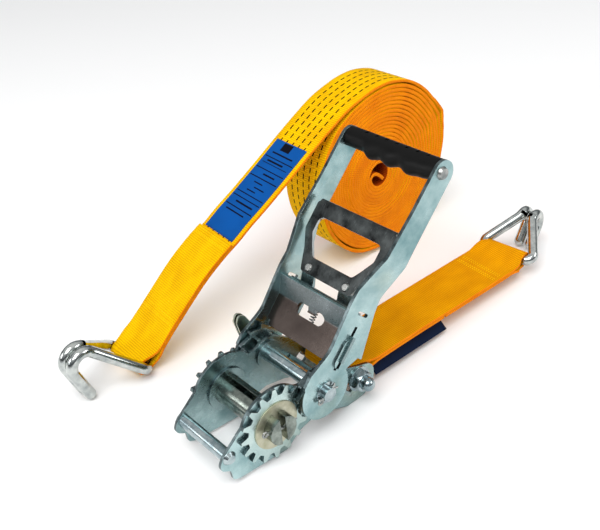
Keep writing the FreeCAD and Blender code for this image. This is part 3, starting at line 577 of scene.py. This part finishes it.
def make_long_strap(face, back, edge, shaded, thread, label):
    """The sewn loop on the hook, the doubled end, the single run and the roll, as one ribbon."""
    bar = joint_place("long_hook_swing")
    bar_side = joint_axis("long_hook_swing")
    run = through(long_strap_run(), STEP)
    from_bar = [(p - bar).length for p in run]
    sides = [bar_side.lerp(Vector((0, 1, 0)), smoothstep(d / SIDES_LEVEL_BY)) for d in from_bar]
    widths = [BAR_HALF + (HALF - BAR_HALF) * smoothstep(d / WIDE_BY) for d in from_bar]
    round_bar = BAR_R + WEB_T / 2 + 0.15 * MM
    gaps = [LAYER_GAP + (round_bar - LAYER_GAP) * (1 - smoothstep(d / CLOSED_BY)) for d in from_bar]
    double = [i for i, p in enumerate(run) if p.x < FLAP_END]
    upper = offset_line(run, sides, gaps)
    fade = [1 - smoothstep((p.x - FLAP_END) / SINGLE_BY) for p in run]
    lower = offset_line(run, sides, [-g * f for g, f in zip(gaps, fade)])
    arc = turn_round(bar, upper[0] - bar, bar_side)
    flap = [upper[i] for i in reversed(double[1:])]
    centre = mm(*ROLL_CENTRE)
    eye = mm(*ROLL_EYE)
    start = math.atan2(run[-1].z - centre.z, run[-1].x - centre.x)
    roll = roll_line(start, (run[-1] - centre).length, centre, eye)
    line = flap + arc + lower[1:-2] + roll
    across = [sides[i] * -1 for i in reversed(double[1:])] + [bar_side * -1] * len(arc)
    across += [s * -1 for s in sides[1:-2]] + [Vector((0, -1, 0))] * len(roll)
    halves = [widths[i] for i in reversed(double[1:])] + [BAR_HALF] * len(arc)
    halves += widths[1:-2] + [HALF] * len(roll)
    thick = [WEB_T] * (len(line) - len(roll))
    thick += [WEB_T + (ROLL_T - WEB_T) * smoothstep(k / THICKEN_STEPS) for k in range(len(roll))]
    strap, length = ribbon("long_strap_webbing", line, across, halves, thick, (back, face, edge))
    shade_eye(strap, length, shaded)
    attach(strap, "long_strap")
    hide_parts("long_strap")
    make_long_label(run, sides, [-LAYER_GAP * f for f in fade], label)
    third = len(double) // 3
    seams = [double[-2], double[-4], double[third], double[third + 2]]
    make_stitches("long_strap_stitches", "long_strap", upper, sides, seams, thread)


STITCHES = 17               # in a row across the strap
STITCH_SHARE = 0.62         # of its pitch that a stitch fills
STITCH_SLANT = 0.35 * MM
STITCH_SINK = 0.05 * MM
THREAD_R = 0.42 * MM
SEWN_HALF = HALF - 3.0 * MM
# Rings along a stitch: the share of its half length, and of the thread's radius.
STITCH_RINGS = ((-1.0, 0.25), (-0.5, 1.0), (0.5, 1.0), (1.0, 0.25))


def make_stitches(name, body, line, sides, rows, thread):
    """Rows of thread across a doubled strap: small closed beads lying in the weave."""
    vertices, faces = [], []
    for i in rows:
        along = (line[i + 1] - line[i - 1]).normalized()
        side = (sides[i] - along * sides[i].dot(along)).normalized()
        out = along.cross(side)
        for k in range(STITCHES):
            across = (k + 0.5) / STITCHES * 2 - 1
            middle = line[i] + side * across * SEWN_HALF + out * (WEB_T / 2 - STITCH_SINK)
            corner = len(vertices)
            reach = side * (STITCH_SHARE * SEWN_HALF / STITCHES) + along * STITCH_SLANT
            for share, wide in STITCH_RINGS:
                for t in range(6):
                    angle = math.pi * t / 3
                    round_it = along * math.cos(angle) + out * math.sin(angle)
                    vertices.append(middle + reach * share + round_it * wide * THREAD_R)
            for ring in range(3):
                for t in range(6):
                    a, b = corner + 6 * ring + t, corner + 6 * ring + (t + 1) % 6
                    faces.append((a, b, b + 6, a + 6))
            faces.append(tuple(corner + t for t in reversed(range(6))))
            faces.append(tuple(corner + 18 + t for t in range(6)))
    mesh = bpy.data.meshes.new(name)
    mesh.from_pydata([tuple(p) for p in vertices], [], faces)
    for polygon in mesh.polygons:
        polygon.use_smooth = True
    mesh.materials.append(thread.made)
    made = bpy.data.objects.new(name, mesh)
    bpy.context.scene.collection.objects.link(made)
    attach(made, body)


def make_long_label(run, sides, base, label):
    """The printed label, sewn on the single webbing just past the flap's end."""
    lift = WEB_T / 2 + 0.35 * MM
    chosen = [i for i, p in enumerate(run) if FLAP_END < p.x < LABEL_END]
    raised = offset_line(run, sides, [b + lift for b in base])
    made, length = ribbon("long_strap_label", [raised[i] for i in chosen],
                          [sides[i] for i in chosen], [LABEL_HALF] * len(chosen),
                          [LABEL_T] * len(chosen), (label, label, label))
    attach(made, "long_strap")
    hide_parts("long_label")


# ---------------------------------------------------------------- short strap

OPEN_BY = 30 * MM           # from the bolt, where the two layers meet
SHORT_HALF = HALF - 0.3 * MM
SHORT_WIDE_BY = 12 * MM     # from the hook's bar, where the webbing has its full width
SHORT_SEAMS = ((0.79, 0.81), (0.83, 0.85))      # as shares of the way from bolt to hook


def make_short_strap(golden, edge, thread, label):
    """One closed loop of webbing, round the rear bolt's sleeve and the hook's bar."""
    bolt = joint_place("short_strap_lift")
    bar = joint_place("short_hook_swing")
    bar_side = joint_axis("short_hook_swing") * -1
    level = Vector((0, 1, 0))
    span = (bar - bolt).length
    middle = through([bolt, bolt.lerp(bar, 0.3) + mm(0, 0, 1.2),
                      bolt.lerp(bar, 0.6) + mm(0, 0, 0.6), bar], STEP)
    shares = [(p - bolt).length / span for p in middle]
    sides = [level.lerp(bar_side, smoothstep(s * 1.05)).normalized() for s in shares]
    near_bolt = SLEEVE_R + WEB_T / 2 + 0.4 * MM
    near_bar = BAR_R + WEB_T / 2 + 0.2 * MM
    gaps, widths = [], []
    for s in shares:
        from_bolt, from_bar = s * span, (1 - s) * span
        opening = (near_bolt - LAYER_GAP) * (1 - smoothstep(from_bolt / OPEN_BY))
        closing = (near_bar - LAYER_GAP) * (1 - smoothstep(from_bar / CLOSED_BY))
        gaps.append(LAYER_GAP + opening + closing)
        widths.append(BAR_HALF + (SHORT_HALF - BAR_HALF) * smoothstep(from_bar / SHORT_WIDE_BY))
    upper = offset_line(middle, sides, gaps)
    lower = offset_line(middle, sides, [-g for g in gaps])

    def all_round(under, at_bar, over, at_bolt):
        """The loop's order: it starts and ends half way along the lower layer."""
        half_way = len(middle) // 2
        return under[half_way:-1] + at_bar + over[-2:0:-1] + at_bolt + under[1:half_way]

    arc_bar = turn_round(bar, lower[-1] - bar, bar_side)
    arc_bolt = turn_round(bolt, upper[0] - bolt, level)
    bends = len(arc_bar)
    line = all_round(lower, arc_bar, upper, arc_bolt)
    across = all_round(sides, [bar_side] * bends, sides, [level] * bends)
    halves = all_round(widths, [widths[-1]] * bends, widths, [widths[0]] * bends)
    strap, length = ribbon("short_strap_webbing", line, across, halves, [WEB_T] * len(line),
                           (golden, golden, edge))
    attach(strap, "short_strap")
    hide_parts("short_strap")
    make_short_label(label)
    seams = [k for k, s in enumerate(shares) if any(low < s < high for low, high in SHORT_SEAMS)]
    make_stitches("short_strap_stitches", "short_strap", upper, sides, seams, thread)


SHORT_LABEL_STEPS = 30
SHORT_LABEL_START = (-19.6, 13.4)       # y and z, in mm, at its end by the ratchet
SHORT_LABEL_DROP = (-1.5, -2.6)         # what they change by towards the hook, in mm
SHORT_LABEL_SIDE = (0, 0.78, 0.63)
SHORT_LABEL_HALF = 9.0 * MM
SHORT_LABEL_T = 0.6 * MM


def make_short_label(label):
    """A stiff label sewn under the strap's right edge, drooping towards the floor."""
    low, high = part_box("short_label")
    start_y, start_z = SHORT_LABEL_START
    drop_y, drop_z = SHORT_LABEL_DROP
    line = []
    for k in range(SHORT_LABEL_STEPS + 1):
        share = k / SHORT_LABEL_STEPS
        line.append(Vector((low.x + (high.x - low.x) * share, (start_y + drop_y * share) * MM,
                            (start_z + drop_z * share) * MM)))
    across = [Vector(SHORT_LABEL_SIDE)] * len(line)
    made, length = ribbon("short_strap_label", line, across, [SHORT_LABEL_HALF] * len(line),
                          [SHORT_LABEL_T] * len(line), (label, label, label))
    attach(made, "short_strap")
    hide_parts("short_label")


# ---------------------------------------------------------------- painting the CAD pieces

def paint(material, *names):
    """Gives CAD nodes a better material in their own slots."""
    for name in names:
        node = NODES[name]
        for slot in node.material_slots:
            slot.link = "OBJECT"
            slot.material = material.made


def both(*names):
    """The names of a pair of nodes, left and right, for each name."""
    return [name + side for name in names for side in ("_left", "_right")]


def make_spring(node, body, material):
    """A copy of a compression spring's mesh in the given material, fixed to a body, with the CAD
    node hidden.
    """
    made = bpy.data.objects.new(node + "_coils", NODES[node].data.copy())
    bpy.context.scene.collection.objects.link(made)
    made.data.materials.clear()
    made.data.materials.append(material.made)
    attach(made, body)
    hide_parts(node)
    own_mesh(made)


def paint_ratchet():
    """Materials for every metal piece and the grip, and the two kinds of spring."""
    paint(zinc_material("zinc_plate", ZINC_LIGHT, ZINC_DARK, 0.26, edges=True),
          *both("frame_plate", "mandrel_bush", "pivot_bush"))
    paint(zinc_material("zinc_pawls", linear(150, 168, 168), linear(100, 120, 124), 0.24),
          "drive_pawl", "locking_pawl")
    paint(handle_zinc(), "handle_channel")
    paint(zinc_material("zinc_gears", linear(200, 216, 212), linear(148, 176, 176), 0.25,
                        grain=(200, 40, 200), edges=True),
          *both("big_gear", "pinion", "ratchet_wheel"))
    paint(simple_metal("zinc_turned", linear(176, 188, 190), linear(122, 140, 146), 0.2),
          "tie_rod", "rear_bolt", "cap_nut", "strap_sleeve", "pivot_shaft",
          *both("wheel_spacer", "pivot_collar"))
    paint(simple_metal("mandrel_steel", linear(150, 158, 150), linear(84, 92, 88), 0.2),
          "mandrel_half_front", "mandrel_half_rear")
    paint(simple_metal("wing_zinc", linear(176, 180, 160), linear(130, 142, 134), 0.3), "wing_lug")
    paint(simple_metal("cotter_steel", linear(180, 180, 176), linear(120, 126, 126), 0.28),
          "grip_bolt", "lever_rivets", *both("mandrel_cotter", "pivot_cotter"))
    paint(simple_metal("yellow_zinc", linear(196, 194, 174), linear(166, 164, 138), 0.4),
          *both("flange_washer"))
    coils = simple_metal("spring_steel", linear(130, 136, 140), linear(90, 96, 100), 0.25)
    make_spring("drive_spring", "handle",
                coils)
    make_spring("lock_springs", "frame",
                coils)
    paint(simple_metal("hook_steel", linear(206, 210, 206), linear(150, 156, 156), 0.1),
          "long_hook", "short_hook")
    paint(lever_material(), "finger_lever")
    paint(grip_material(), "grip")


# ---------------------------------------------------------------- camera, floor and lights

CAMERA_PLACE = mm(-268.83, -420.27, 490.24)
CAMERA_RIGHT = Vector((0.741397, -0.665088, -0.089375))
CAMERA_DOWN = Vector((-0.428063, -0.366144, -0.826257))
CAMERA_FORWARD = Vector((0.516810, 0.650843, -0.556157))


def make_camera():
    """The photograph's viewing angle, solved from the object's known sizes."""
    data = bpy.data.cameras.new("camera")
    camera = bpy.data.objects.new("camera", data)
    bpy.context.scene.collection.objects.link(camera)
    turn = Matrix((CAMERA_RIGHT, -CAMERA_DOWN, -CAMERA_FORWARD)).transposed().to_4x4()
    camera.matrix_world = Matrix.Translation(CAMERA_PLACE) @ turn
    data.sensor_width = 36.0
    data.lens = 51.91
    data.clip_start = 0.01
    data.clip_end = 50.0
    bpy.context.scene.camera = camera


FLOOR_REACH = 8.0
FLOOR_Z = -0.4 * MM         # just below everything that rests on it


def make_floor():
    """A plain white floor."""
    mesh = bpy.data.meshes.new("floor")
    corners = [(x * FLOOR_REACH, y * FLOOR_REACH, FLOOR_Z)
               for x, y in ((-1, -1), (1, -1), (1, 1), (-1, 1))]
    mesh.from_pydata(corners, [], [(0, 1, 2, 3)])
    floor = bpy.data.objects.new("floor", mesh)
    bpy.context.scene.collection.objects.link(floor)
    mesh.materials.append(Material("floor_white", (0.93, 0.93, 0.93, 1.0), 0.9).made)


LIGHT_TARGET = Vector((0.13, 0.05, 0.05))
# Each light's name, place in metres, width and height in metres, and power in watts.
LIGHTS = (("key", (-0.6, -0.5, 1.7), (1.2, 1.2), 26),
          ("left", (-1.6, 0.9, 0.9), (1.0, 0.7), 10),
          ("right", (1.2, -1.3, 1.0), (0.9, 0.7), 8))


def make_light(name, place, size, power):
    """A white area light aimed at the object's middle."""
    data = bpy.data.lights.new(name, "AREA")
    data.shape = "RECTANGLE"
    data.size, data.size_y = size
    data.energy = power
    light = bpy.data.objects.new(name, data)
    bpy.context.scene.collection.objects.link(light)
    aim = (LIGHT_TARGET - Vector(place)).to_track_quat("-Z", "Y").to_matrix().to_4x4()
    light.matrix_world = Matrix.Translation(place) @ aim


# The studio's light by how high one looks: 0 is level or lower, and 1 is straight up.
WORLD_RAMP = ((0.07, (1, 1, 1, 1)), (0.15, (0.05, 0.055, 0.06, 1)),
              (0.4, (0.3, 0.32, 0.34, 1)), (0.75, (1, 1, 1, 1)))
WORLD_STRENGTH = 0.8


def make_world():
    """A pale studio with one dark band above the horizon, for the metal to reflect."""
    world = bpy.data.worlds.new("studio")
    bpy.context.scene.world = world
    world.use_nodes = True
    tree = world.node_tree
    background = tree.nodes["Background"]
    place = tree.nodes.new("ShaderNodeTexCoord")
    split = tree.nodes.new("ShaderNodeSeparateXYZ")
    ramp = tree.nodes.new("ShaderNodeValToRGB")
    tree.links.new(place.outputs["Generated"], split.inputs[0])
    tree.links.new(split.outputs[2], ramp.inputs[0])
    tree.links.new(ramp.outputs[0], background.inputs[0])
    elements = ramp.color_ramp.elements
    elements[0].position, elements[0].color = WORLD_RAMP[0]
    for position, colour in WORLD_RAMP[1:]:
        elements.new(position).color = colour
    background.inputs[1].default_value = WORLD_STRENGTH


# ---------------------------------------------------------------- the whole scene

# Each bar's middle and half length along the label, then its middle and half width across, in mm.
LABEL_BARS = ((99.5, 4.3, 2.0, 6.0), (85.5, 0.5, 0.0, 19.0), (79.0, 0.35, 0.0, 17.0),
              (72.5, 0.5, 0.0, 19.0), (63.0, 0.55, 0.0, 19.0), (44.0, 0.5, 0.0, 19.0),
              (39.0, 0.5, 0.0, 19.0), (28.5, 0.55, 0.0, 19.0), (91.0, 0.8, 0.0, 14.0),
              (82.0, 0.9, 2.0, 11.0), (68.0, 0.8, -3.0, 8.0), (58.0, 0.6, 2.0, 6.0),
              (53.0, 0.6, -4.0, 7.0), (48.5, 0.6, 3.0, 6.0), (34.0, 0.9, -2.0, 12.0),
              (24.0, 0.7, 1.0, 13.0))


def make_straps():
    """Both straps, with their labels and stitching."""
    printed = webbing_material("webbing_face", linear(248, 200, 0), linear(206, 140, 0),
                               dashes=True)
    plain = webbing_material("webbing_back", linear(246, 194, 0), linear(200, 140, 0))
    golden = webbing_material("webbing_golden", linear(232, 160, 0), linear(190, 116, 0))
    # The selvedge's deeper orange than the face is painted shade on the webbing's side faces.
    selvedge = edge_material("webbing_edge", linear(240, 138, 0), linear(212, 98, 0))
    blue = label_material("label_blue", linear(0, 78, 150), linear(4, 10, 26), LABEL_BARS)
    navy = label_material("label_navy", linear(0, 26, 52), linear(0, 8, 20), ())
    shaded = webbing_material("webbing_shaded", linear(176, 74, 6), linear(120, 40, 2))
    thread = edge_material("stitching_thread", linear(246, 206, 20), linear(214, 156, 0))
    make_long_strap(printed, plain, selvedge, shaded, thread, blue)
    make_short_strap(golden, selvedge, thread, navy)


bpy.context.scene.view_settings.view_transform = "Standard"
make_camera()
make_floor()
make_world()
for name, place, size, power in LIGHTS:
    make_light(name, place, size, power)
paint_ratchet()
make_straps()
